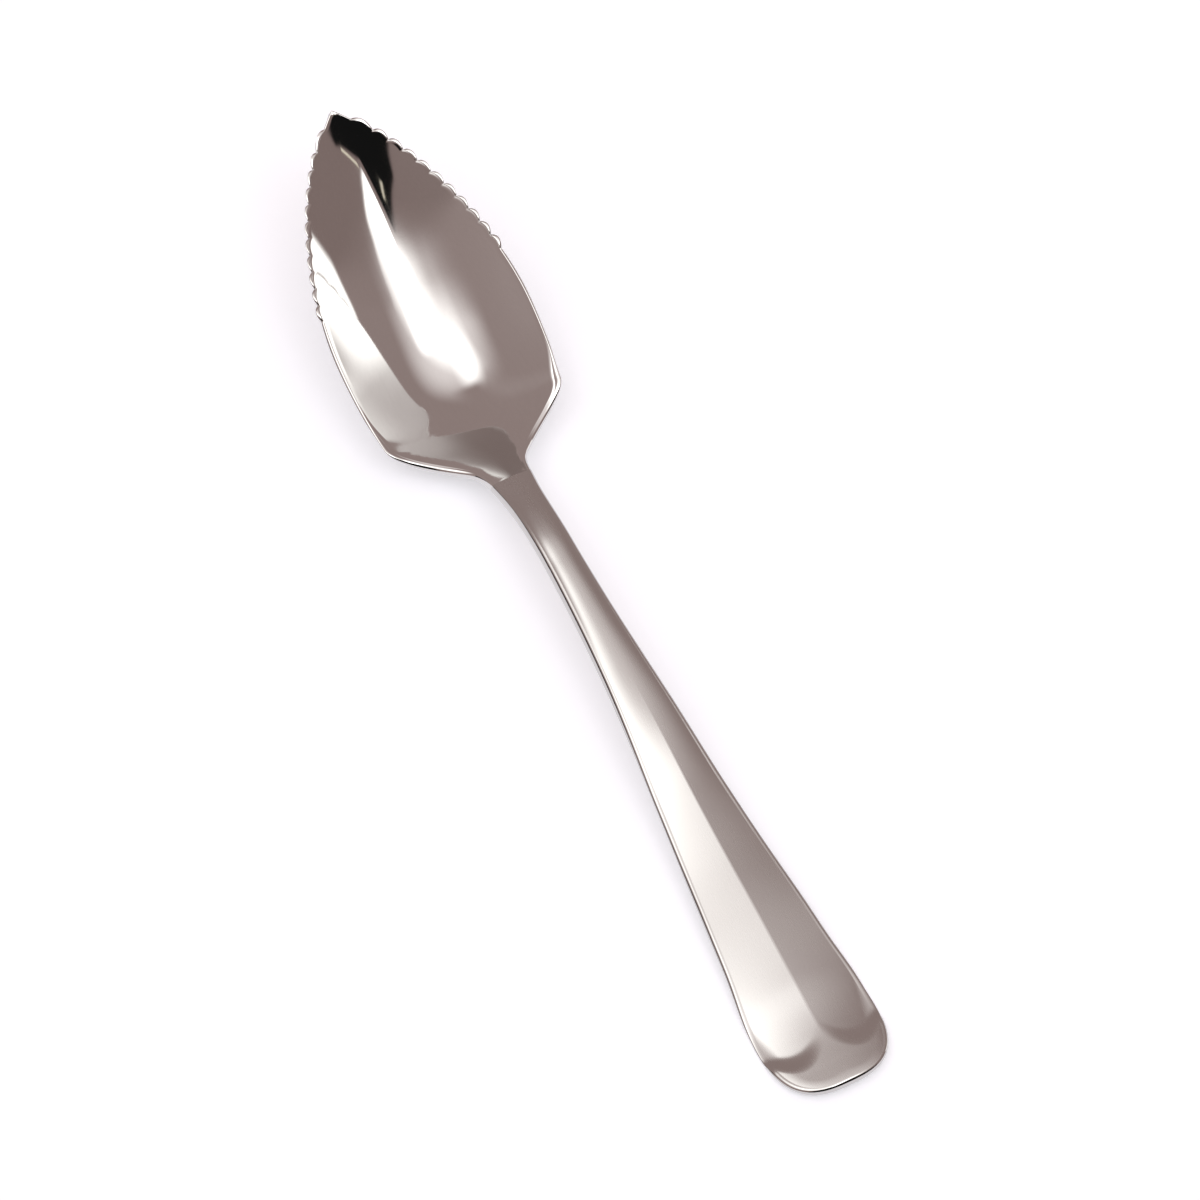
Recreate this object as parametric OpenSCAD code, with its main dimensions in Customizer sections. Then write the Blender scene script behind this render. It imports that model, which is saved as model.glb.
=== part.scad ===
// Grapefruit spoon pressed from one blank of stainless steel.
// The bowl is mirror polished and the handle is satin. Both are zones of the same blank, and they
// meet face to face on the finish line across the neck.
// X runs from the rounded end of the handle to the pointed tip, and Z is up from the table.
// The origin is on the table under the middle of the length.

/* [Handle] */
// Length from the rounded end to the finish line at the neck
handle_l = 100.5; // [85:0.5:120]
// Greatest width, close to the rounded end
end_w = 17.6; // [13:0.1:22]
// Length of the rounded end, up to the greatest width
end_l = 10; // [7:0.5:14]
// Narrowest width of the stem
stem_w = 5.5; // [4:0.1:7]
// Width at the finish line
neck_w = 6.6; // [5.5:0.1:8]
// Thickness on the middle line at the rounded end
end_t = 1.95; // [1.5:0.05:2.6]
// Thickness on the middle line at the narrowest part of the stem
stem_t = 3; // [2.2:0.05:3.6]
// Thickness on the middle line at the finish line
neck_t = 2.5; // [1.8:0.05:3]
// Height of the stem's crest above the table
stem_lift = 10.7; // [7:0.1:15]
// Height of the top at the finish line
neck_lift = 8.15; // [6:0.05:11]
// Rise of the turned-up end above the lowest part of the handle
turn_up = 0.7; // [0:0.1:2.5]

/* [Flutes] */
// Depth of the two flutes at the edges, below the ridge between them
flute_h = 0.95; // [0.2:0.05:1.1]
// Distance from the rounded end to the fork of the ridge
fork_l = 8.4; // [7:0.1:14]
// How far the round ends of the flutes reach past the fork
flute_reach = 3.2; // [1:0.1:5]
// Length of the step between a flute and the end plate
flute_step = 2.2; // [1:0.1:4]
// Distance from the rounded end to the place where the ridge fades
ridge_l = 66; // [45:1:80]

/* [Bowl] */
// Length from the finish line to the tip
bowl_l = 57.5; // [45:0.5:75]
// Greatest width inside the rim
bowl_w = 29.4; // [24:0.2:38]
// Thickness of the bowl
bowl_t = 1; // [0.8:0.05:1.5]
// Thickness of the rim's edge along the sides
rim_t = 0.6; // [0.4:0.05:1]
// Greatest depth below the rim
bowl_depth = 9.85; // [6:0.1:12]
// Length from the finish line to the shoulders
shoulder_l = 11.4; // [8:0.1:14]
// Rounding of the shoulders
shoulder_r = 1.2; // [0.4:0.1:3]
// Height of the rim's lowest place, at the shoulders
shoulder_lift = 7.15; // [5:0.05:9]
// Height of the tip
tip_lift = 23.5; // [14:0.1:28]

/* [Teeth] */
// Teeth on each side
tooth_count = 11; // [5:1:12]
// Distance between two notches along the rim
tooth_pitch = 2.4; // [1.8:0.05:2.6]
// Height of a tooth over its notches
tooth_h = 0.5; // [0.2:0.05:0.8]
// Distance from the tip to the first notch along the rim
point_l = 2.9; // [2:0.1:4]
// Length of the first tooth, next to the point
first_tooth_l = 3.3; // [2.4:0.1:4]
// Thickness of the ground edge at the teeth
tooth_t = 0.35; // [0.25:0.05:0.5]

/* [Hidden] */

// Crown of the top across the end plate, the stem and the neck
end_crown = 0.2;
stem_crown = 0.5;
neck_crown = 0.4;
// Roundness of the underside
belly = 0.15;
// How far the side of the handle bulges between its two edges
side_bulge = 0.18;
// Small length that slopes are measured over
probe = 0.02;

// Mesh counts: points across the top and the underside, and ribs along each stretch
top_n = 12;
under_n = 7;
cap_n = 14;
grip_n = 36;
neck_n = 12;
corner_n = 6;
side_n = 14;
tooth_n = 5;
point_n = 3;

total_l = handle_l + bowl_l;
shoulder_x = handle_l + shoulder_l;

// Helpers
function clamp(v) = min(1, max(0, v));
function ramp(v, a, b) = let (t = clamp((v - a) / (b - a))) t * t * (3 - 2 * t);
function mix(a, b, share) = a + (b - a) * share;
function reversed(list) = [for (i = [len(list) - 1:-1:0]) list[i]];
function smooth_min(a, b, r) = let (h = max(r - abs(a - b), 0)) min(a, b) - h * h / (4 * r);

// Smooth curve through points in rising x
function secant(p, i) = (p[i + 1].y - p[i].y) / (p[i + 1].x - p[i].x);
function slope(p, i) =
    i == 0 ? secant(p, 0)
    : i == len(p) - 1 ? secant(p, i - 1)
    : let (before = p[i].x - p[i - 1].x, after = p[i + 1].x - p[i].x)
      (secant(p, i) * before + secant(p, i - 1) * after) / (before + after);
function curve(p, x) =
    let (
        i = max([for (j = [0:len(p) - 2]) if (j == 0 || x >= p[j].x) j]),
        d = p[i + 1].x - p[i].x,
        t = clamp((x - p[i].x) / d),
        u = 1 - t
    )
    p[i].y * u * u * (1 + 2 * t) + p[i + 1].y * t * t * (1 + 2 * u)
    + d * t * u * (slope(p, i) * u - slope(p, i + 1) * t);

// A table of [share of a length, share of a height] turned into lengths
function sized(shares, length, height, start = 0, base = 0) =
    [for (s = shares) [start + s.x * length, base + s.y * height]];

// Handle outline: a rounded end, then a taper to the stem and a flare to the neck
taper_shares = [[0, 1], [0.04, 0.975], [0.12, 0.83], [0.18, 0.745], [0.29, 0.575], [0.4, 0.41],
    [0.52, 0.255], [0.63, 0.13], [0.75, 0.035], [0.86, 0]];
taper = concat(
    sized(taper_shares, handle_l - end_l, (end_w - stem_w) / 2, end_l, stem_w / 2),
    [[mix(handle_l, end_l, 0.03), mix(stem_w, neck_w, 0.47) / 2], [handle_l, neck_w / 2]]
);
end_power = 2.7;
function end_half_w(x) = end_w / 2 * pow(1 - pow(1 - x / end_l, end_power), 1 / end_power);
function handle_half_w(x) = x < end_l ? end_half_w(max(x, 0)) : curve(taper, x);

// Bowl outline: the shoulder line from the neck, cut by the side that runs to the tip
shoulder_shares = [[0, 0], [0.1, 0.015], [0.2, 0.04], [0.32, 0.095], [0.45, 0.22], [0.61, 0.41],
    [0.9, 0.81], [1.2, 1.22], [1.3, 1.36]];
side_shares = [[0, 0.84], [0.08, 0.885], [0.165, 0.925], [0.22, 0.953], [0.3, 0.985],
    [0.37, 1], [0.45, 0.998], [0.55, 0.955], [0.635, 0.882], [0.713, 0.785], [0.79, 0.655],
    [0.86, 0.5], [0.92, 0.325], [0.965, 0.15], [1, 0]];
shoulder = sized(shoulder_shares, shoulder_l, (bowl_w - neck_w) / 2, handle_l, neck_w / 2);
side = sized(side_shares, bowl_l, bowl_w / 2, handle_l);
shoulder_end = shoulder[len(shoulder) - 1].x;
function side_half_w(x) = curve(side, x);
function bowl_half_w(x) =
    x > shoulder_end ? side_half_w(x)
    : smooth_min(side_half_w(x), curve(shoulder, x), shoulder_r);

function half_w(x) = x <= handle_l ? handle_half_w(x) : bowl_half_w(x);

// Share of the way from the middle line to the edge, as if the rounded end kept its full width
function across(x, y) = clamp(y / half_w(max(x, end_l)));

// Thickness on the middle line
wall = [
    [0, end_t],
    [handle_l * 0.3, mix(end_t, stem_t, 0.1)],
    [handle_l * 0.6, mix(end_t, stem_t, 0.55)],
    [handle_l * 0.87, stem_t],
    [handle_l, neck_t],
    [handle_l + shoulder_l * 0.5, mix(neck_t, bowl_t, 0.62)],
    [shoulder_x, mix(neck_t, bowl_t, 0.93)],
    [handle_l + shoulder_l * 1.5, bowl_t],
    [total_l, bowl_t]
];

// Thickness of the edge under the rim, ground thin towards the teeth
edge_wall = [
    [handle_l, neck_t - neck_crown],
    [handle_l + shoulder_l * 0.5, mix(neck_t, bowl_t, 0.8)],
    [shoulder_x, mix(bowl_t, rim_t, 0.7)],
    [handle_l + shoulder_l * 1.4, rim_t],
    [mix(shoulder_x, total_l, 0.4), rim_t],
    [mix(shoulder_x, total_l, 0.55), tooth_t],
    [total_l, tooth_t]
];

// Side view of the handle: the ridge line, low where the handle rests on the table
rise_shares = [[0.12, 0.015], [0.16, 0.062], [0.26, 0.2], [0.36, 0.325], [0.463, 0.53],
    [0.565, 0.75], [0.667, 0.875], [0.768, 0.955], [0.836, 0.994], [0.88, 1]];
ridge = concat(
    [[0, end_t + turn_up], [end_l * 0.4, end_t + turn_up * 0.6], [end_l * 0.8, end_t + turn_up * 0.2]],
    sized(rise_shares, handle_l, stem_lift - end_t, 0, end_t),
    [
        [handle_l * 0.925, mix(stem_lift, neck_lift, 0.22)],
        [handle_l * 0.972, mix(stem_lift, neck_lift, 0.69)],
        [handle_l, neck_lift]
    ]
);
crown = [
    [0, end_crown],
    [handle_l * 0.4, end_crown],
    [ridge_l, stem_crown],
    [handle_l * 0.9, stem_crown],
    [handle_l, neck_crown],
    [handle_l + shoulder_l * 0.5, neck_crown * 0.6],
    [shoulder_x, 0],
    [total_l, 0]
];

// Flutes: hollow from the ridge to the edge, with a round end towards the end plate
hollow_power = 1.15;
function flute_end(y) =
    let (r = end_w / 4, t = y / r - 1) fork_l - flute_reach * max(0, 1 - t * t);
function flute_cut(x, y) =
    let (start = flute_end(y))
    flute_h * (1 - pow(1 - across(x, y), hollow_power)) * ramp(x, start - flute_step / 2, start + flute_step)
    * (1 - ramp(x, ridge_l * 0.68, ridge_l));

// Side view of the bowl: the rim falls from the neck to the shoulders, then climbs to the tip
fall_shares = [[0, 1], [0.33, 0.66], [0.62, 0.34], [0.9, 0.08], [1.1, 0], [1.2, 0]];
climb_shares = [[0, 0], [0.16, 0], [0.217, 0.02], [0.306, 0.12], [0.449, 0.305], [0.59, 0.452],
    [0.734, 0.598], [0.84, 0.73], [0.93, 0.868], [1, 1]];
depth_shares = [[0, 0], [0.05, 0.112], [0.1, 0.222], [0.15, 0.33], [0.2, 0.45], [0.25, 0.597],
    [0.3, 0.76], [0.35, 0.9], [0.4, 0.98], [0.45, 1], [0.5, 0.95], [0.56, 0.853],
    [0.64, 0.69], [0.715, 0.535], [0.79, 0.39], [0.86, 0.258], [0.92, 0.143], [0.965, 0.058], [1, 0]];
fall = sized(fall_shares, shoulder_l, neck_lift - shoulder_lift, handle_l);
climb = sized(climb_shares, bowl_l, tip_lift - shoulder_lift, handle_l, shoulder_lift);
depth = sized(depth_shares, bowl_l, bowl_depth, handle_l);
function rim_z(x) = curve(climb, x) + curve(fall, x);

// Section of the bowl: a hyperbola, with a round floor and straighter walls
floor_share = 1.3;
function section(t) =
    (sqrt(t * t + floor_share * floor_share) - floor_share)
    / (sqrt(1 + floor_share * floor_share) - floor_share);
function bowl_top(x, y) =
    rim_z(x) - curve(depth, x) * (1 - section(y / max(side_half_w(x), probe)));

function crowned(x, y) = curve(crown, x) * pow(across(x, y), 2);
function top_z(x, y) =
    x <= handle_l ? curve(ridge, x) - crowned(x, y) - flute_cut(x, y)
    : bowl_top(x, y) - (x < shoulder_x ? crowned(x, y) : 0);

// Unit normal of the top
function normal(x, y) =
    let (
        side_x = x + probe > total_l ? -probe : probe,
        n = [
            -(top_z(x + side_x, y) - top_z(x, y)) / side_x,
            -(top_z(x, y + probe) - top_z(x, y)) / probe,
            1
        ]
    )
    n / norm(n);

// Underside: level with the table across the handle, and parallel to the top under the bowl
function under_handle(x, y) =
    [x, y, top_z(x, 0) - curve(wall, x) + belly * pow(across(x, y), 2)];
function under_bowl(x, y, thickness) =
    let (n = normal(x, y), in_plane = y == 0 ? [n.x, 0, n.z] / norm([n.x, n.z]) : n)
    [x, y, top_z(x, y)] - thickness * in_plane;
function under(x, y, at_edge = false) =
    let (thickness = at_edge ? curve(edge_wall, x) : curve(wall, x))
    x <= handle_l ? under_handle(x, y)
    : x >= shoulder_x ? under_bowl(x, y, thickness)
    : mix(under_handle(x, y), under_bowl(x, y, thickness), ramp(x, handle_l, shoulder_x));

// One rib from the middle line over the top to the edge, and back below to the middle line.
// foot and rim are plan points on the middle line and on the edge. tooth is the plan vector from
// the edge to the point of a tooth.
bevel_share = 0.45;
function rib(foot, rim, tooth) =
    let (
        upper = rim + tooth * bevel_share,
        lower = rim + tooth,
        out = rim.y == 0 ? [sign(rim.x - foot.x), 0] : (rim - foot) / norm(rim - foot),
        inset = rim.x <= handle_l ? side_bulge : 0,
        upper_in = upper - out * inset,
        lower_in = lower - out * inset,
        edge_top = [upper_in.x, upper_in.y, top_z(upper_in.x, upper_in.y)],
        edge_under = under(lower_in.x, lower_in.y, true),
        middle = (edge_top + edge_under) / 2 + [out.x, out.y, 0] * inset
    )
    concat(
        [for (j = [0:top_n - 1]) let (p = mix(foot, upper_in, j / top_n))
            [p.x, p.y, top_z(p.x, p.y)]],
        [edge_top, middle, edge_under],
        [for (j = [under_n - 1:-1:0]) let (p = mix(foot, lower_in, j / under_n))
            under(p.x, p.y)]
    );

// Ribs of the handle, fanned around the rounded end and then square to the length
fan_share = 0.6;
function fan_foot(x) = x < end_l ? mix(end_l, x, fan_share) : x;
cap_x = [for (k = [0:cap_n]) end_l * (1 - pow(cos(90 * k / cap_n), 2 / end_power))];
grip_x = [for (k = [1:grip_n]) mix(end_l, handle_l, k / grip_n)];
handle_ribs = [for (x = concat(cap_x, grip_x))
    rib([fan_foot(x), 0], [x, handle_half_w(x)], [0, 0])];

// Length of the rim measured back from the tip, as a table of [length, x]
rim_steps = 120;
rim_x = [for (i = [0:rim_steps]) total_l - (bowl_l - shoulder_l) * i / rim_steps];
rim_points = [for (x = rim_x) [x, bowl_half_w(x)]];
rim_run = [
    for (
        i = 0, run = 0;
        i <= rim_steps;
        run = run + (i < rim_steps ? norm(rim_points[i + 1] - rim_points[i]) : 0), i = i + 1
    )
    [run, rim_x[i]]
];

// Height of a tooth along its own length, as a share
round_power = 0.8;
function tooth_rise(phase) = pow(sin(180 * phase), round_power);
function notch_run(i) = i == 0 ? point_l : point_l + first_tooth_l + (i - 1) * tooth_pitch;
tooth_runs = [for (i = [0:tooth_count - 1], k = [0:tooth_n - 1])
    [mix(notch_run(i), notch_run(i + 1), k / tooth_n), tooth_h * tooth_rise(k / tooth_n)]];
point_runs = [for (k = [0:point_n - 1]) [point_l * k / point_n, 0]];
serrated_runs = concat(point_runs, tooth_runs, [[notch_run(tooth_count), 0]]);
serrated = [for (r = serrated_runs) [lookup(r.x, rim_run), r.y]];
teeth_x = lookup(notch_run(tooth_count), rim_run);

// Ribs of the bowl from the tip back to the finish line
corner_x = shoulder_x + shoulder_r * 1.5;
neck_x = shoulder_x - shoulder_r * 1.5;
plain_x = concat(
    [for (k = [1:side_n]) mix(teeth_x, corner_x, k / side_n)],
    [for (k = [1:corner_n]) mix(corner_x, neck_x, k / corner_n)],
    [for (k = [1:neck_n]) mix(neck_x, handle_l, k / neck_n)]
);
bowl_stations = concat(serrated, [for (x = plain_x) [x, 0]]);
function outward(x) =
    let (d = [probe, bowl_half_w(x) - bowl_half_w(x - probe)]) [-d.y, d.x] / norm(d);
tip_tuck = 0.4;
tip_foot = total_l - tip_tuck;
bowl_ribs = [for (s = bowl_stations)
    rib([min(s.x, tip_foot), 0], [s.x, s.x == total_l ? 0 : bowl_half_w(s.x)], outward(s.x) * s.y)];

// Two triangles for the four corners of a cell, split from the first corner or from the second
function cell(a, b, c, d, from_first) =
    from_first ? [[a, b, c], [a, c, d]] : [[a, b, d], [b, c, d]];

// A closed solid from the ribs of one half, the first of which lies on the middle plane
module blade(ribs) {
    last = len(ribs) - 1;
    ring = len(ribs[0]) - 1;
    right_total = (last + 1) * (ring + 1);
    right = [for (r = ribs, p = r) [p.x, -p.y, p.z]];
    left = [for (k = [1:last], j = [1:ring - 1]) ribs[k][j]];
    function right_id(k, j) = k * (ring + 1) + j;
    function left_id(k, j) =
        k == 0 || j == 0 || j == ring ? right_id(k, j)
        : right_total + (k - 1) * (ring - 1) + j - 1;
    right_faces = [for (k = [0:last - 1], j = [0:ring - 1])
        each cell(right_id(k, j), right_id(k + 1, j), right_id(k + 1, j + 1), right_id(k, j + 1),
            j <= top_n)];
    left_faces = [for (k = [0:last - 1], j = [0:ring - 1])
        each cell(left_id(k, j + 1), left_id(k + 1, j + 1), left_id(k + 1, j), left_id(k, j),
            j > top_n)];
    cut_face = concat(
        [for (j = [1:ring - 1]) left_id(last, j)],
        [for (j = [ring:-1:0]) right_id(last, j)]
    );
    faces = concat(right_faces, left_faces, [cut_face]);
    from_the_tip = ribs[0][0].x > ribs[last][0].x;
    outside = from_the_tip ? [for (f = faces) reversed(f)] : faces;
    translate([-reach / 2, 0, -lowest])
        polyhedron(concat(right, left), outside, convexity = 6);
}

// The spoon stands on its lowest point, and its tip reaches furthest
lowest = min([for (r = concat(handle_ribs, bowl_ribs), p = r) p.z]);
reach = max([for (r = bowl_ribs, p = r) p.x]);

module bowl() {
    color([0.62, 0.6, 0.58])
        blade(bowl_ribs);
}

module handle() {
    color([0.72, 0.7, 0.68])
        blade(handle_ribs);
}

bowl();
handle();
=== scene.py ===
"""Grapefruit spoon: mirror polished bowl and satin handle, on a white table under a studio sky.

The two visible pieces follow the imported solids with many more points, so that the polished
surfaces reflect without facets. Their crowns, flutes, rounded sides and the bowl's bottom line are
fitted more closely to the reflections. Shape sizes are in millimetres, with x from the rounded end
of the handle to the tip. Meshes are in metres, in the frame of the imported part.
"""

import math

import bpy
import numpy as np
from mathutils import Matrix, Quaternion, Vector


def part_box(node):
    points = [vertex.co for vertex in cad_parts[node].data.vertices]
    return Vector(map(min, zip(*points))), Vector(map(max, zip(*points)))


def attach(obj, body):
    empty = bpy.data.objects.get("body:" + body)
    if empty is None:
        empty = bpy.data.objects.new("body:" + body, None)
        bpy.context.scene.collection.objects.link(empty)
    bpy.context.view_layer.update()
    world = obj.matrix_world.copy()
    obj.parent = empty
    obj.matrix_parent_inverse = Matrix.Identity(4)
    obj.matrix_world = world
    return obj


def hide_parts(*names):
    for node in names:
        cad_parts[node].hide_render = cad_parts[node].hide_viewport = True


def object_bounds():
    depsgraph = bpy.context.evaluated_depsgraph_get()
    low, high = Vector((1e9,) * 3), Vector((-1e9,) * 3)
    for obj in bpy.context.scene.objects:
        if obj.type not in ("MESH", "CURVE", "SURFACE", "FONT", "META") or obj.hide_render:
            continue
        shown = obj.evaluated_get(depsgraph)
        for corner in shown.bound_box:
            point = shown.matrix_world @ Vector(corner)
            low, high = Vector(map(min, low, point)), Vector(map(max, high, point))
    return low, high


MM = 0.001

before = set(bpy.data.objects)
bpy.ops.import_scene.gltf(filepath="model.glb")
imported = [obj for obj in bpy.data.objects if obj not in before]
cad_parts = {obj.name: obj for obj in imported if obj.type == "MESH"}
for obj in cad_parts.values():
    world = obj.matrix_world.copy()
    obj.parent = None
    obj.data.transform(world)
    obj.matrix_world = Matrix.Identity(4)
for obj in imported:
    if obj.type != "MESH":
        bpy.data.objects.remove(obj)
cad_low, cad_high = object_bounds()
handle_low, handle_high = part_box("handle")

# Handle: lengths end in _l, widths in _w, thicknesses in _t, heights in _h, and lifts are heights
# above the table
handle_l = (handle_high.x - handle_low.x) / MM
end_w = (handle_high.y - handle_low.y) / MM
end_l = 10
stem_w = 5.5
neck_w = 6.6
end_t = 1.95
stem_t = 3
neck_t = 2.5
stem_lift = 10.7
neck_lift = 8.15
turn_up = 0.9

# Crowns: how far the top falls from the middle line to the edge, and belly, how far the underside
# rises
end_crown = 1.05
plate_crown = 0.2
stem_crown = 0.9
neck_crown = 0.4
belly = 0.15

# Sides: how far they stand out round, how square they are, and the top's roll-off at the end
side_bulge = 0.75
side_power = 2.1
end_roll_l = 1.2
end_roll_h = 0.09

# Flutes: their depth at the edge, where the ridge forks, how far their round ends reach, and how
# long the step there is
flute_h = 1.15
fork_l = 8.4
flute_reach = 3.2
flute_step = 2.2
ridge_l = 66

# Extra height where the flutes are widest: of the ridge, of its crown and of the whole width, and
# the least metal left at the edge
ridge_h = 0.2
ridge_crown = 0.15
plate_h = 0.3
least_edge_t = 0.4
least_edge_blend = 0.2

# Bowl
bowl_l = 57.5
bowl_w = 29.4
bowl_t = 1
rim_t = 0.6
bowl_depth = 9.85
shoulder_l = 11.4
shoulder_r = 1.2
shoulder_lift = 7.15
tip_lift = 23.5
rim_round = 0.18
shoulder_round = 1
rim_roll_l = 0.5
rim_roll_h = 0.08

# Teeth: the plain point comes first from the tip, and then the teeth with their ground edge
tooth_count = 11
tooth_pitch = 2.4
tooth_h = 0.5
point_l = 2.9
first_tooth_l = 3.3
tooth_t = 0.35
tip_tuck = 0.4

total_l = handle_l + bowl_l
shoulder_x = handle_l + shoulder_l

# Small length that slopes are measured over
probe = 0.02

# Mesh counts for one half: points across the top, down the side and across the underside
top_n = 56
side_n = 18
under_n = 30

# Stations along the rounded end, the rest of the handle, the neck, the shoulder's corner, the plain
# side of the bowl, each tooth and the point
cap_n = 72
grip_n = 190
neck_n = 50
corner_n = 24
wall_n = 60
tooth_n = 14
point_n = 12


def clamp(v):
    return np.clip(v, 0, 1)


def ramp(v, a, b):
    t = clamp((v - a) / (b - a))
    return t * t * (3 - 2 * t)


def mix(a, b, share):
    return a + (b - a) * share


def smooth_min(a, b, r):
    h = np.maximum(r - abs(a - b), 0)
    return np.minimum(a, b) - h * h / (4 * r)


def sized(shares, length, height, start=0.0, base=0.0):
    """A table of shares of a length and of a height, turned into lengths."""
    return [(start + a * length, base + b * height) for a, b in shares]


def hermite(points, v):
    """A smooth curve through points in rising x."""
    x, y = np.array(points, float).T
    step = np.diff(x)
    secant = np.diff(y) / step
    inner = (secant[1:] * step[:-1] + secant[:-1] * step[1:]) / (step[:-1] + step[1:])
    slope = np.concatenate([secant[:1], inner, secant[-1:]])
    i = np.clip(np.searchsorted(x, v, "right") - 1, 0, len(x) - 2)
    d = x[i + 1] - x[i]
    t = clamp((v - x[i]) / d)
    u = 1 - t
    level = y[i] * u * u * (1 + 2 * t) + y[i + 1] * t * t * (1 + 2 * u)
    return level + d * t * u * (slope[i] * u - slope[i + 1] * t)


def curve(points, blur=0.0):
    """The curve as a function. A blur, a length, evens out its bends for smooth reflections."""
    if not blur:
        return lambda v: hermite(points, np.asarray(v, float))
    fine_step = 0.1
    n = int(4 * blur / fine_step)
    first, last = points[0][0], points[-1][0]
    grid = np.arange(first - 2 * n * fine_step, last + 2 * n * fine_step, fine_step)
    level = hermite(points, np.clip(grid, first, last))
    first_slope = (hermite(points, first + probe) - hermite(points, first)) / probe
    last_slope = (hermite(points, last) - hermite(points, last - probe)) / probe
    level += np.minimum(grid - first, 0) * first_slope + np.maximum(grid - last, 0) * last_slope
    weight = np.exp(-0.5 * (fine_step * np.arange(-n, n + 1) / blur) ** 2)
    even = np.convolve(level, weight / weight.sum(), "same")
    return lambda v: np.interp(v, grid[n:-n], even[n:-n])


# Handle outline: a rounded end, then a taper to the stem and a flare to the neck
taper_shares = [(0, 1), (0.04, 0.975), (0.12, 0.83), (0.18, 0.745), (0.29, 0.575), (0.4, 0.41),
                (0.52, 0.255), (0.63, 0.13), (0.75, 0.035), (0.86, 0)]
taper = curve(
    sized(taper_shares, handle_l - end_l, (end_w - stem_w) / 2, end_l, stem_w / 2)
    + [(mix(handle_l, end_l, 0.03), mix(stem_w, neck_w, 0.47) / 2), (handle_l, neck_w / 2)]
)
end_power = 2.7


def handle_half_w(x):
    round_end = end_w / 2 * (1 - (1 - clamp(x / end_l)) ** end_power) ** (1 / end_power)
    return np.where(x < end_l, round_end, taper(np.maximum(x, end_l)))


# Bowl outline: the shoulder line from the neck, cut by the side that runs to the tip
shoulder_shares = [(0, 0), (0.1, 0.015), (0.2, 0.04), (0.32, 0.095), (0.45, 0.22), (0.61, 0.41),
                   (0.9, 0.81), (1.2, 1.22), (1.3, 1.36)]
side_shares = [(0, 0.84), (0.08, 0.885), (0.165, 0.925), (0.22, 0.953), (0.3, 0.985), (0.37, 1),
               (0.45, 0.998), (0.55, 0.955), (0.635, 0.882), (0.713, 0.785), (0.79, 0.655),
               (0.86, 0.5), (0.92, 0.325), (0.965, 0.15), (1, 0)]
shoulder = curve(sized(shoulder_shares, shoulder_l, (bowl_w - neck_w) / 2, handle_l, neck_w / 2))
side = curve(sized(side_shares, bowl_l, bowl_w / 2, handle_l), blur=0.8)
shoulder_end = handle_l + shoulder_shares[-1][0] * shoulder_l


def bowl_half_w(x):
    corner = smooth_min(side(x), shoulder(np.minimum(x, shoulder_end)), shoulder_r)
    return np.where(x > shoulder_end, np.maximum(side(x), 0), corner)


def half_w(x):
    x = np.asarray(x, float)
    on_bowl = bowl_half_w(np.maximum(x, handle_l))
    return np.where(x <= handle_l, handle_half_w(np.minimum(x, handle_l)), on_bowl)


def across(x, y):
    """Share of the way from the middle line to the edge, as if the end kept its full width."""
    return clamp(abs(y) / half_w(np.clip(x, end_l, total_l - probe)))


# Thickness on the middle line and at the edge, and crown of the top
wall = curve([
    (0, end_t), (handle_l * 0.3, mix(end_t, stem_t, 0.1)),
    (handle_l * 0.6, mix(end_t, stem_t, 0.55)), (handle_l * 0.87, stem_t), (handle_l, neck_t),
    (handle_l + shoulder_l * 0.5, mix(neck_t, bowl_t, 0.62)),
    (shoulder_x, mix(neck_t, bowl_t, 0.93)), (handle_l + shoulder_l * 1.5, bowl_t),
    (total_l, bowl_t),
])
edge_wall = curve([
    (handle_l, neck_t - neck_crown),
    (handle_l + shoulder_l * 0.5, mix(neck_t, bowl_t, 0.8)),
    (shoulder_x, mix(bowl_t, rim_t, 0.7)), (handle_l + shoulder_l * 1.4, rim_t),
    (mix(shoulder_x, total_l, 0.4), rim_t), (mix(shoulder_x, total_l, 0.55), tooth_t),
    (total_l, tooth_t),
])
crown = curve([
    (0, end_crown), (end_l * 0.8, end_crown), (end_l * 1.9, plate_crown),
    (handle_l * 0.4, plate_crown), (ridge_l, stem_crown), (handle_l * 0.9, stem_crown),
    (handle_l, neck_crown), (handle_l + shoulder_l * 0.5, neck_crown * 0.6), (shoulder_x, 0),
    (total_l, 0),
])

# Side view of the handle: the ridge line, low where the handle rests on the table
rise_shares = [(0.12, 0.015), (0.16, 0.062), (0.26, 0.2), (0.36, 0.325), (0.463, 0.53),
               (0.565, 0.75), (0.667, 0.875), (0.768, 0.955), (0.836, 0.994), (0.88, 1)]
ridge = curve(
    [(0, end_t + turn_up), (end_l * 0.4, end_t + turn_up * 0.6),
     (end_l * 0.8, end_t + turn_up * 0.2)]
    + sized(rise_shares, handle_l, stem_lift - end_t, 0, end_t)
    + [(handle_l * 0.925, mix(stem_lift, neck_lift, 0.22)),
       (handle_l * 0.972, mix(stem_lift, neck_lift, 0.69)), (handle_l, neck_lift)]
)


def flute_cut(x, y):
    """Depth of the flutes: an even slope from the ridge to the edge, round at the end plate."""
    r = end_w / 4
    t = abs(y) / r - 1
    start = fork_l - flute_reach * np.maximum(0, 1 - t * t)
    opens = ramp(x, start - flute_step / 2, start + flute_step)
    return flute_h * across(x, y) * opens * (1 - ramp(x, ridge_l * 0.68, ridge_l))


def ridge_rise(x, y):
    """Extra height of the top where the flutes are widest."""
    t = across(x, y)
    before_stem = 1 - ramp(x, ridge_l * 0.45, ridge_l * 0.75)
    on_ridge = (ridge_h * (1 - t) + ridge_crown * (1 - t * t)) * ramp(x, end_l * 0.9, end_l * 1.7)
    on_plate = plate_h * ramp(x, end_l * 0.3, end_l * 1.4)
    return (on_ridge + on_plate) * before_stem


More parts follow.
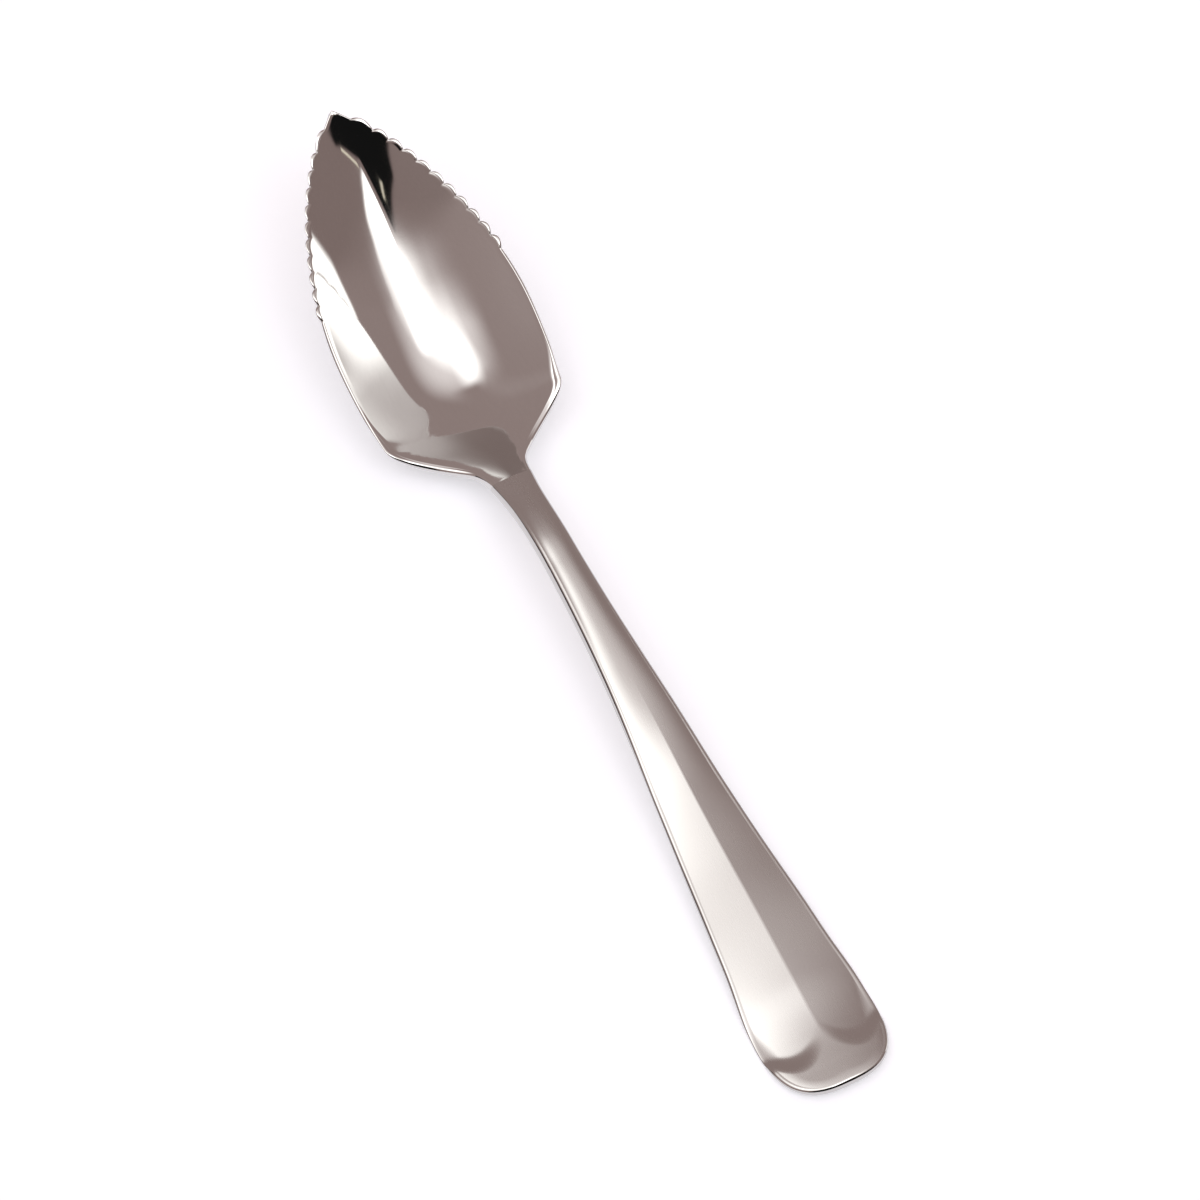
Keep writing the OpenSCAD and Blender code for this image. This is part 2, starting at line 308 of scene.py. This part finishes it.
# Side view of the bowl: the rim falls from the neck to the shoulders, then climbs to the tip
fall_shares = [(0, 1), (0.33, 0.66), (0.62, 0.34), (0.9, 0.08), (1.1, 0), (1.2, 0)]
climb_shares = [(0, 0), (0.16, 0), (0.217, 0.02), (0.306, 0.12), (0.449, 0.305), (0.59, 0.452),
                (0.734, 0.598), (0.84, 0.73), (0.93, 0.868), (1, 1)]
depth_shares = [(0, 0), (0.05, 0.112), (0.1, 0.222), (0.15, 0.33), (0.2, 0.4519), (0.25, 0.60091),
                (0.3, 0.76249), (0.35, 0.90033), (0.4, 0.97985), (0.45, 0.99937),
                (0.5, 0.94884), (0.56, 0.85752), (0.64, 0.70571), (0.715, 0.55442),
                (0.79, 0.41343), (0.86, 0.28312), (0.92, 0.17152), (0.965, 0.07305), (1, 0)]
fall = curve(sized(fall_shares, shoulder_l, neck_lift - shoulder_lift, handle_l))
climb = curve(sized(climb_shares, bowl_l, tip_lift - shoulder_lift, handle_l, shoulder_lift),
              blur=1)
depth = curve(sized(depth_shares, bowl_l, bowl_depth, handle_l), blur=1.8)

# Section of the bowl: a hyperbola, with a round floor and straighter walls. Its floor grows tighter
# from the neck to the middle.
back_floor_share = 2.92
front_floor_share = 1.56


def section(t, floor_share):
    return (np.hypot(t, floor_share) - floor_share) / (np.hypot(1, floor_share) - floor_share)


def bowl_top(x, y):
    towards_tip = ramp(x, handle_l + bowl_l * 0.07, handle_l + bowl_l * 0.73)
    floor_share = mix(back_floor_share, front_floor_share, towards_tip)
    hollow = 1 - section(y / np.maximum(side(x), probe), floor_share)
    return climb(x) + fall(x) - depth(x) * hollow


def top_z(x, y):
    x, y = np.broadcast_arrays(np.asarray(x, float), np.asarray(y, float))
    crowned = crown(x) * across(x, y) ** 2
    handle_x = np.minimum(x, handle_l)
    bowl_x = np.maximum(x, handle_l)
    drop = crowned + flute_cut(handle_x, y) - ridge_rise(handle_x, y)
    most_drop = wall(handle_x) - belly * across(x, y) ** 2 - least_edge_t
    on_handle = ridge(handle_x) - smooth_min(drop, most_drop, least_edge_blend)
    on_bowl = bowl_top(bowl_x, y) - np.where(bowl_x < shoulder_x, crowned, 0)
    return np.where(x <= handle_l, on_handle, on_bowl)


def surface(x, y):
    x, y = np.broadcast_arrays(np.asarray(x, float), np.asarray(y, float))
    return np.stack([x, y, top_z(x, y)], -1)


def unit(v):
    return v / np.maximum(np.linalg.norm(v, axis=-1, keepdims=True), 1e-12)


def normal(x, y):
    """Unit normal of the top."""
    side_x = np.where(x + probe > total_l, -probe, probe)
    slope_x = (top_z(x + side_x, y) - top_z(x, y)) / side_x
    slope_y = (top_z(x, y + probe) - top_z(x, y)) / probe
    return unit(np.stack([-slope_x, -slope_y, np.ones_like(slope_x)], -1))


def under(x, y, thickness):
    """Underside: level with the table across the handle, and parallel to the top under the bowl."""
    x, y = np.broadcast_arrays(np.asarray(x, float), np.asarray(y, float))
    middle = np.zeros_like(y)
    level = top_z(x, middle) - ridge_rise(x, middle) - wall(x) + belly * across(x, y) ** 2
    under_handle = np.stack([x, y, level], -1)
    n = normal(x, y)
    n[..., 1] = np.where(y == 0, 0, n[..., 1])
    under_bowl = surface(x, y) - np.asarray(thickness)[..., None] * unit(n)
    towards_bowl = ramp(x, handle_l, shoulder_x)[..., None]
    return mix(under_handle, under_bowl, towards_bowl)


# How much of a tooth's reach its upper edge has
bevel_share = 0.45
# How the points of the top crowd towards the edge
crowding = 1.6


def ribs(foot_x, rim, tooth, bulge, roll_l, roll_h):
    """One closed half section per station: over the top to the edge, round it, and back below.

    foot_x are places on the middle line, rim plan points on the edge, tooth the plan vectors from
    the edge to the point of a tooth, and bulge how far the side stands out between its edges. The
    top rolls off towards the edge by roll_h over the length roll_l.
    """
    foot = np.stack([foot_x, np.zeros_like(foot_x)], -1)
    out = unit(rim - foot)
    inset = out * bulge[:, None]
    upper = rim + tooth * bevel_share - inset
    lower = rim + tooth - inset
    top_share = 1 - (1 - np.linspace(0, 1, top_n + 1)) ** crowding
    top_at = foot[:, None] + (upper - foot)[:, None] * top_share[None, :, None]
    under_share = np.linspace(1, 0, under_n + 1)
    under_at = foot[:, None] + (lower - foot)[:, None] * under_share[None, :, None]
    top = surface(top_at[..., 0], top_at[..., 1])
    from_edge = np.linalg.norm(upper - foot, axis=-1)[:, None] * (1 - top_share)
    top[..., 2] -= roll_h[:, None] * clamp(1 - from_edge / roll_l) ** 2
    edge_t = edge_wall(np.maximum(under_at[..., 0], handle_l))
    middle_t = wall(under_at[..., 0])
    inward = np.linspace(0, 1, under_n + 1)[None, :]
    thickness = mix(edge_t, middle_t, ramp(inward, 0, 0.35))
    below = under(under_at[..., 0], under_at[..., 1], thickness)
    # the rounded side
    edge_top, edge_under = top[:, -1], below[:, 0]
    down = edge_under - edge_top
    slope_out = unit(edge_top - top[:, -2])
    slope_out = unit(slope_out - unit(down) * (slope_out * unit(down)).sum(-1, keepdims=True))
    angle = np.linspace(0, math.pi, side_n + 1)[1:-1]
    fall_share = (1 - np.sign(np.cos(angle)) * abs(np.cos(angle)) ** (2 / side_power)) / 2
    bulge_share = np.sin(angle) ** (2 / side_power)
    round_side = (edge_top[:, None] + down[:, None] * fall_share[None, :, None]
                  + slope_out[:, None] * bulge[:, None, None] * bulge_share[None, :, None])
    return np.concatenate([top, round_side, below], 1)


# Ribs of the handle, fanned around the rounded end and then square to the length
fan_share = 0.6
cap_x = end_l * (1 - np.cos(np.linspace(0, math.pi / 2, cap_n + 1)) ** (2 / end_power))
grip_x = np.linspace(end_l, handle_l, grip_n + 1)[1:]
handle_x = np.concatenate([cap_x, grip_x])
handle_foot = np.where(handle_x < end_l, mix(end_l, handle_x, fan_share), handle_x)
handle_rim = np.stack([handle_x, handle_half_w(handle_x)], -1)
handle_round = np.full_like(handle_x, side_bulge)
handle_roll = end_roll_h * (1 - ramp(handle_x, end_l * 0.6, end_l * 1.4))
handle_ribs = ribs(handle_foot, handle_rim, np.zeros_like(handle_rim), handle_round, end_roll_l,
                   handle_roll)

# Length of the rim measured back from the tip
rim_x = np.linspace(total_l, shoulder_x, 600)
rim_steps = np.hypot(np.diff(rim_x), np.diff(bowl_half_w(rim_x)))
rim_run = np.concatenate([[0], np.cumsum(rim_steps)])

# Teeth along that length
round_power = 0.8
notches = point_l + np.concatenate([[0], first_tooth_l + tooth_pitch * np.arange(tooth_count)])
tooth_phase = np.arange(tooth_n) / tooth_n
tooth_runs = (notches[:-1, None] + np.diff(notches)[:, None] * tooth_phase).ravel()
tooth_rises = np.tile(tooth_h * np.sin(math.pi * tooth_phase) ** round_power, tooth_count)
point_runs = point_l * np.arange(point_n) / point_n
serrated_x = np.interp(np.concatenate([point_runs, tooth_runs, notches[-1:]]), rim_run, rim_x)
serrated_rise = np.concatenate([np.zeros(point_n), tooth_rises, [0]])

# Ribs of the bowl from the tip back to the finish line
corner_x = shoulder_x + shoulder_r * 1.5
neck_x = shoulder_x - shoulder_r * 1.5
plain_x = np.concatenate([
    np.linspace(serrated_x[-1], corner_x, wall_n + 1)[1:],
    np.linspace(corner_x, neck_x, corner_n + 1)[1:],
    np.linspace(neck_x, handle_l, neck_n + 1)[1:],
])
bowl_x = np.concatenate([serrated_x, plain_x])
bowl_rise = np.concatenate([serrated_rise, np.zeros(len(plain_x))])
bowl_foot = np.minimum(bowl_x, total_l - tip_tuck)
bowl_rim = np.stack([bowl_x, np.where(bowl_x == total_l, 0, bowl_half_w(bowl_x))], -1)
widening = bowl_half_w(bowl_x) - bowl_half_w(bowl_x - probe)
along = np.stack([np.full_like(bowl_x, probe), widening], -1)
outward = unit(np.stack([-along[:, 1], along[:, 0]], -1))
bowl_round = mix(side_bulge, shoulder_round, ramp(bowl_x, handle_l, handle_l + shoulder_l / 2))
bowl_round = mix(bowl_round, rim_round, ramp(bowl_x, shoulder_x, shoulder_x + shoulder_l / 2))
bowl_ribs = ribs(bowl_foot, bowl_rim, outward * bowl_rise[:, None], bowl_round, rim_roll_l,
                 np.full_like(bowl_x, rim_roll_h))
lowest = min(handle_ribs[..., 2].min(), bowl_ribs[..., 2].min())

# Faces that meet at more than this angle, in degrees, keep a sharp edge
sharp_angle = 50


def blade(name, half, material):
    """A closed mesh from the ribs of one half, the first of which lies on the middle plane."""
    stations, points = half.shape[:2]
    turned = half[0, 0, 0] > half[-1, 0, 0]
    right = half * (1, -1, 1)
    left = half[1:, 1:-1]
    right_id = np.arange(stations * points).reshape(stations, points)
    left_id = right_id.copy()
    left_count = left.shape[0] * left.shape[1]
    left_id[1:, 1:-1] = stations * points + np.arange(left_count).reshape(left.shape[:2])
    faces = []
    for ids, flip in ((right_id, turned), (left_id, not turned)):
        quads = np.stack([ids[:-1, :-1], ids[1:, :-1], ids[1:, 1:], ids[:-1, 1:]], -1)
        quads = quads.reshape(-1, 4)
        faces += (quads[:, ::-1] if flip else quads).tolist()
    cut = np.concatenate([left_id[-1, 1:-1], right_id[-1, ::-1]]).tolist()
    faces.append(cut[::-1] if turned else cut)
    faces = [list(dict.fromkeys(f)) for f in faces]
    points_mm = np.concatenate([right.reshape(-1, 3), left.reshape(-1, 3)])
    points_m = (points_mm - (0, 0, lowest)) * MM + (cad_low.x, 0, cad_low.z)
    mesh = bpy.data.meshes.new(name)
    mesh.from_pydata(points_m.tolist(), [], faces)
    mesh.validate()
    mesh.shade_smooth()
    mesh.set_sharp_from_angle(angle=math.radians(sharp_angle))
    piece = bpy.data.objects.new(name, mesh)
    bpy.context.scene.collection.objects.link(piece)
    piece.data.materials.append(material)
    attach(piece, "root")
    return piece


class Nodes:
    """A short way to add shader nodes to a tree."""

    def __init__(self, tree):
        self.tree = tree
        tree.nodes.clear()

    def add(self, kind, settings=(), **inputs):
        node = self.tree.nodes.new(kind)
        for key, value in dict(settings).items():
            setattr(node, key, value)
        for key, value in inputs.items():
            self.put(node.inputs[key.replace("_", " ")], value)
        return node

    def put(self, socket, value):
        if isinstance(value, bpy.types.NodeSocket):
            self.tree.links.new(value, socket)
        else:
            socket.default_value = value

    def math(self, operation, a, b=0.0, c=0.0, limit=False):
        node = self.tree.nodes.new("ShaderNodeMath")
        node.operation, node.use_clamp = operation, limit
        for socket, value in zip(node.inputs, (a, b, c)):
            self.put(socket, value)
        return node.outputs[0]

    def blend(self, share, a, b):
        node = self.tree.nodes.new("ShaderNodeMix")
        node.data_type = "RGBA"
        self.put(node.inputs["Factor"], share)
        self.put(node.inputs["A"], a)
        self.put(node.inputs["B"], b)
        return node.outputs["Result"]

    def plus(self, a, b):
        node = self.tree.nodes.new("ShaderNodeVectorMath")
        node.operation = "ADD"
        self.put(node.inputs[0], a)
        self.put(node.inputs[1], b)
        return node.outputs[0]

    def smooth(self, value, a, b, low=0.0, high=1.0):
        """From low to high while value goes from a to b, with soft ends."""
        node = self.add("ShaderNodeMapRange", {"interpolation_type": "SMOOTHSTEP"},
                        Value=value, From_Min=a, From_Max=b, To_Min=low, To_Max=high)
        return node.outputs[0]


# Patches of uneven polish per metre, and the slopes, as the normal's z, where the polished edges
# begin and are full
patch_scale = 90.0
edge_start, edge_full = 0.97, 0.9
# How much the grain and the patches shade the steel
grain_shade = 0.06
patch_shade = 0.03


def steel(name, color, rough, rough_swing, grain_scale, grain_height, edge_rough):
    """Stainless steel with a fine grain along the spoon, faint uneven polish and smooth edges.

    grain_scale is how many grains there are per metre along x, y and z, and grain_height is their
    height in metres.
    """
    material = bpy.data.materials.new(name)
    material.use_nodes = True
    n = Nodes(material.node_tree)
    place = n.add("ShaderNodeTexCoord").outputs["Object"]
    stretched = n.add("ShaderNodeMapping", Vector=place, Scale=grain_scale).outputs[0]
    grain = n.add("ShaderNodeTexNoise", Vector=stretched, Scale=1.0, Detail=4.0,
                  Roughness=0.6).outputs[0]
    patches = n.add("ShaderNodeTexNoise", Vector=place, Scale=patch_scale, Detail=3.0,
                    Roughness=0.5).outputs[0]
    worn = n.math("MULTIPLY_ADD", patches, rough_swing, rough - rough_swing / 2)
    roughness = n.math("MULTIPLY_ADD", n.math("SUBTRACT", grain, 0.5), rough_swing, worn)
    facing = n.add("ShaderNodeSeparateXYZ", Vector=n.add("ShaderNodeTexCoord").outputs["Normal"])
    steep = n.smooth(facing.outputs["Z"], edge_start, edge_full)
    towards_edge = n.math("SUBTRACT", edge_rough, roughness)
    roughness = n.math("ADD", n.math("MULTIPLY", towards_edge, steep), roughness)
    shade = n.math("MULTIPLY_ADD", grain, grain_shade, 1 - grain_shade / 2)
    darker = [v * (1 - patch_shade) for v in color]
    lighter = [v * (1 + patch_shade) for v in color]
    tint = n.blend(patches, (*darker, 1), (*lighter, 1))
    toned = n.add("ShaderNodeVectorMath", {"operation": "SCALE"}, Vector=tint,
                  Scale=shade).outputs[0]
    bump = n.add("ShaderNodeBump", Height=grain, Strength=1.0, Distance=grain_height).outputs[0]
    shader = n.add("ShaderNodeBsdfPrincipled", Base_Color=toned, Metallic=1.0,
                   Roughness=roughness, Normal=bump)
    n.add("ShaderNodeOutputMaterial", Surface=shader.outputs[0])
    return material


mirror_steel = steel("mirror_steel", (0.655, 0.65, 0.64), rough=0.045, rough_swing=0.03,
                     grain_scale=(400, 2600, 2600), grain_height=0.0000004, edge_rough=0.05)
satin_steel = steel("satin_steel", (0.58, 0.573, 0.56), rough=0.27, rough_swing=0.06,
                    grain_scale=(260, 5200, 5200), grain_height=0.000002, edge_rough=0.08)

bowl = blade("bowl_shell", bowl_ribs, mirror_steel)
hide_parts("bowl")
handle = blade("handle_blade", handle_ribs, satin_steel)
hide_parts("handle")


# Studio. The sky is a dim taupe room with one large soft light overhead and its haze, a dark side
# behind the camera and a white card across from it. Its shapes are given on a level plane one unit
# above the spoon, where a straight edge in the room is a straight line.
sky_strength = 0.91
room_color = (0.4224, 0.3266, 0.3096, 1)
left_room_color = (0.3223, 0.2407, 0.2265, 1)
light_color = (2.65, 2.6, 2.55, 1)
card_color = (2.05, 2.0, 1.95, 1)
dark_color = (0.01, 0.01, 0.01, 1)
glint_color = (1.1, 1.0, 0.8, 1)
# Least height of a direction, which keeps the level plane's places finite
horizon = 0.015
# Where the room on the left goes over into the rest
left_room_end = (-0.8, -0.6)
# How much lighter the room gets for each unit away across it, and the most units
room_tilt = 0.0141
room_reach = 4.0
# Round outlines of the light, of its wing and of its haze: middle, half sizes, turn, and the shares
# of the half sizes where they are full and gone
core_round = (0.0855, 0.4975, 0.5492, 0.2629, -0.2763, 0, 1.614)
wing_round = (-0.6473, -0.1156, 0.846, 0.293, 0.7478, 0.131, 1.889)
haze_round = (-0.4093, 0.2841, 1.189, 1.344, 0.561, 0.3948, 1.232)
haze_light = 0.7868
# Straight sides that cut all three on the left, and the corner that stands out there,
# anticlockwise, with the softness of the edge after each corner
left_side = [(-0.4628, 1.4, 0.3), (-0.679, 0.8, 0.1), (-0.7152, 0.4, 0.1), (-0.6989, 0.05, 0.1),
             (-0.7089, -60.0, 1.0), (60.0, -60.0, 1.0), (60.0, 60.0, 1.0), (20.65, 60.0, 0.3)]
left_corner = [(-0.8925, -0.0282, 0.0266), (-0.6203, -0.7736, 0.02), (-0.4, -0.3, 0.02),
               (-0.5678, 0.0732, 0.02)]
# The end of the light on the right: its soft sides along u and along v
right_end = [(0.47, 0.76), (-0.35, 0.2), (0.7, 0.3)]
# The dark side behind the camera, its narrow tail, and a dark doorway across the room
dark_back = [(-60.0, -85.0, 0.1), (-2.34, -2.72, 0.05), (-1.29, -1.02, 0.04), (-0.9711, 0.03, 0.02),
             (-1.001, 0.3, 0.03), (-60.0, 60.0, 0.1)]
dark_tail = [(-1.15, 0.0104, 0.015), (-0.7083, 0.1104, 0.012), (-0.735, 0.27, 0.015),
             (-0.815, 0.49, 0.02), (-0.9075, 0.7, 0.03), (-1.127, 0.95, 0.05),
             (-60.0, 60.0, 0.1)]
doorway = [(1.0, 2.2, 0.1), (60.0, 60.0, 0.1), (2.0, 60.0, 0.1)]
# Two slats of daylight in the dark
glints = [[(-1.17, -0.66, 0.01), (-1.13, -0.66, 0.01), (-0.9, -0.1, 0.01), (-0.94, -0.1, 0.01)],
          [(-0.86, 0.36, 0.01), (-0.86, 0.31, 0.01), (-0.775, 0.19, 0.01), (-0.775, 0.23, 0.01)]]
# The white card, whose corner stands up on the left
card = [(-0.72, -4.4, 0.15), (-9.9, -60.0, 1.0), (22.0, -62.0, 0.15)]
# Bright middle of the light, seen again in the second reflections in the bowl
hot_round = (-0.56, -0.16, 0.4, 0.27, -0.9, 0.2, 1.15)
hot_light = 1.6
# How much the floor glows in the picture and in reflections, over its own lit colour
floor_glow = 0.38


def right_of(n, u, v, start, end, soft):
    """1 on the right hand side of the line from start to end, with a soft edge."""
    length = math.hypot(end[0] - start[0], end[1] - start[1])
    nx, ny = (end[1] - start[1]) / length, (start[0] - end[0]) / length
    reach = n.math("MULTIPLY_ADD", u, nx, n.math("MULTIPLY", v, ny))
    level = nx * start[0] + ny * start[1]
    return n.smooth(reach, level - soft, level + soft)


def inside(n, u, v, corners):
    """1 within the convex outline, given anticlockwise, with soft edges."""
    share = None
    for start, end in zip(corners, corners[1:] + corners[:1]):
        edge = right_of(n, u, v, end[:2], start[:2], start[2])
        share = edge if share is None else n.math("MULTIPLY", share, edge)
    return share


def rounded(n, u, v, middle_u, middle_v, half_a, half_b, turn, full, gone):
    """1 in the middle of a turned ellipse, fading between two shares of its half sizes."""
    c, s = math.cos(turn), math.sin(turn)
    along = n.math("MULTIPLY_ADD", u, c / half_a, n.math("MULTIPLY_ADD", v, s / half_a,
                   -(middle_u * c + middle_v * s) / half_a))
    over = n.math("MULTIPLY_ADD", u, -s / half_b, n.math("MULTIPLY_ADD", v, c / half_b,
                  (middle_u * s - middle_v * c) / half_b))
    reach = n.math("SQRT", n.math("MULTIPLY_ADD", along, along, n.math("MULTIPLY", over, over)))
    return n.smooth(reach, full, gone, 1.0, 0.0)


def build_sky():
    world = bpy.data.worlds.new("studio")
    bpy.context.scene.world = world
    world.use_nodes = True
    n = Nodes(world.node_tree)
    direction = n.add("ShaderNodeTexCoord").outputs["Generated"]
    parts = n.add("ShaderNodeSeparateXYZ", Vector=direction)
    height = n.math("MAXIMUM", parts.outputs["Z"], horizon)
    u = n.math("DIVIDE", parts.outputs["X"], height)
    v = n.math("DIVIDE", parts.outputs["Y"], height)
    cut = n.math("MAXIMUM", inside(n, u, v, left_side), inside(n, u, v, left_corner))
    beyond = n.math("MULTIPLY", n.smooth(u, *right_end[0]), n.smooth(v, *right_end[1]))
    beyond = n.math("MULTIPLY", beyond, n.smooth(v, *right_end[2]))
    cut = n.math("MULTIPLY", cut, n.math("SUBTRACT", 1.0, beyond))
    core = rounded(n, u, v, *core_round)
    wing = rounded(n, u, v, *wing_round)
    light = n.math("SUBTRACT", n.math("ADD", core, wing), n.math("MULTIPLY", core, wing))
    light = n.math("MULTIPLY", cut, light)
    haze = n.math("MULTIPLY", cut, rounded(n, u, v, *haze_round))
    far = n.math("MINIMUM", n.math("MAXIMUM", v, 0.0), room_reach)
    haze = n.math("MULTIPLY_ADD", haze, haze_light, n.math("MULTIPLY", far, room_tilt))
    sky = n.blend(n.smooth(u, *left_room_end), left_room_color, room_color)
    glow = n.add("ShaderNodeCombineXYZ", X=haze, Y=haze, Z=haze)
    sky = n.plus(sky, glow.outputs[0])
    sky = n.blend(light, sky, light_color)
    hot = n.math("MULTIPLY", n.math("MULTIPLY", cut, rounded(n, u, v, *hot_round)), hot_light)
    sky = n.plus(sky, n.add("ShaderNodeCombineXYZ", X=hot, Y=hot, Z=hot).outputs[0])
    sky = n.blend(inside(n, u, v, card), sky, card_color)
    dark = n.math("MAXIMUM", inside(n, u, v, dark_back), inside(n, u, v, dark_tail))
    dark = n.math("MAXIMUM", dark, inside(n, u, v, doorway))
    sky = n.blend(dark, sky, dark_color)
    for glint in glints:
        sky = n.blend(inside(n, u, v, glint), sky, glint_color)
    background = n.add("ShaderNodeBackground", Color=sky, Strength=sky_strength)
    n.add("ShaderNodeOutputWorld", Surface=background.outputs[0])


def build_floor():
    size = 20.0
    mesh = bpy.data.meshes.new("floor")
    corners = [(-size, -size, 0), (size, -size, 0), (size, size, 0), (-size, size, 0)]
    mesh.from_pydata(corners, [], [(0, 1, 2, 3)])
    floor = bpy.data.objects.new("floor", mesh)
    bpy.context.scene.collection.objects.link(floor)
    floor.location.z = cad_low.z
    material = bpy.data.materials.new("white_table")
    material.use_nodes = True
    n = Nodes(material.node_tree)
    rays = n.add("ShaderNodeLightPath").outputs
    seen = n.math("MAXIMUM", rays["Is Camera Ray"], rays["Is Glossy Ray"])
    seen = n.math("MAXIMUM", seen, rays["Is Transmission Ray"])
    glow = n.math("MULTIPLY", seen, floor_glow)
    diffuse = n.add("ShaderNodeBsdfDiffuse", Color=(0.8, 0.81, 0.88, 1))
    white = n.add("ShaderNodeEmission", Color=(1, 1, 1, 1), Strength=glow)
    both = n.add("ShaderNodeAddShader")
    n.tree.links.new(diffuse.outputs[0], both.inputs[0])
    n.tree.links.new(white.outputs[0], both.inputs[1])
    n.add("ShaderNodeOutputMaterial", Surface=both.outputs[0])
    mesh.materials.append(material)


def build_camera():
    """The photo's view: the picture's middle, where the camera stands round it, and its lens."""
    middle = Vector((0.0019, -0.00427, 0))
    azimuth, elevation, roll = math.radians(149.76), math.radians(60.78), math.radians(3.43)
    distance = 0.6988
    data = bpy.data.cameras.new("camera")
    data.sensor_width = 36
    data.lens = 149.35
    camera = bpy.data.objects.new("camera", data)
    bpy.context.scene.collection.objects.link(camera)
    level = math.cos(elevation)
    back = Vector((level * math.cos(azimuth), level * math.sin(azimuth), math.sin(elevation)))
    camera.location = middle + back * distance
    camera.rotation_mode = "QUATERNION"
    camera.rotation_quaternion = (-back).to_track_quat("-Z", "Y") @ Quaternion((0, 0, 1), roll)
    bpy.context.scene.camera = camera


build_sky()
build_floor()
build_camera()
bpy.context.scene.view_settings.view_transform = "Standard"
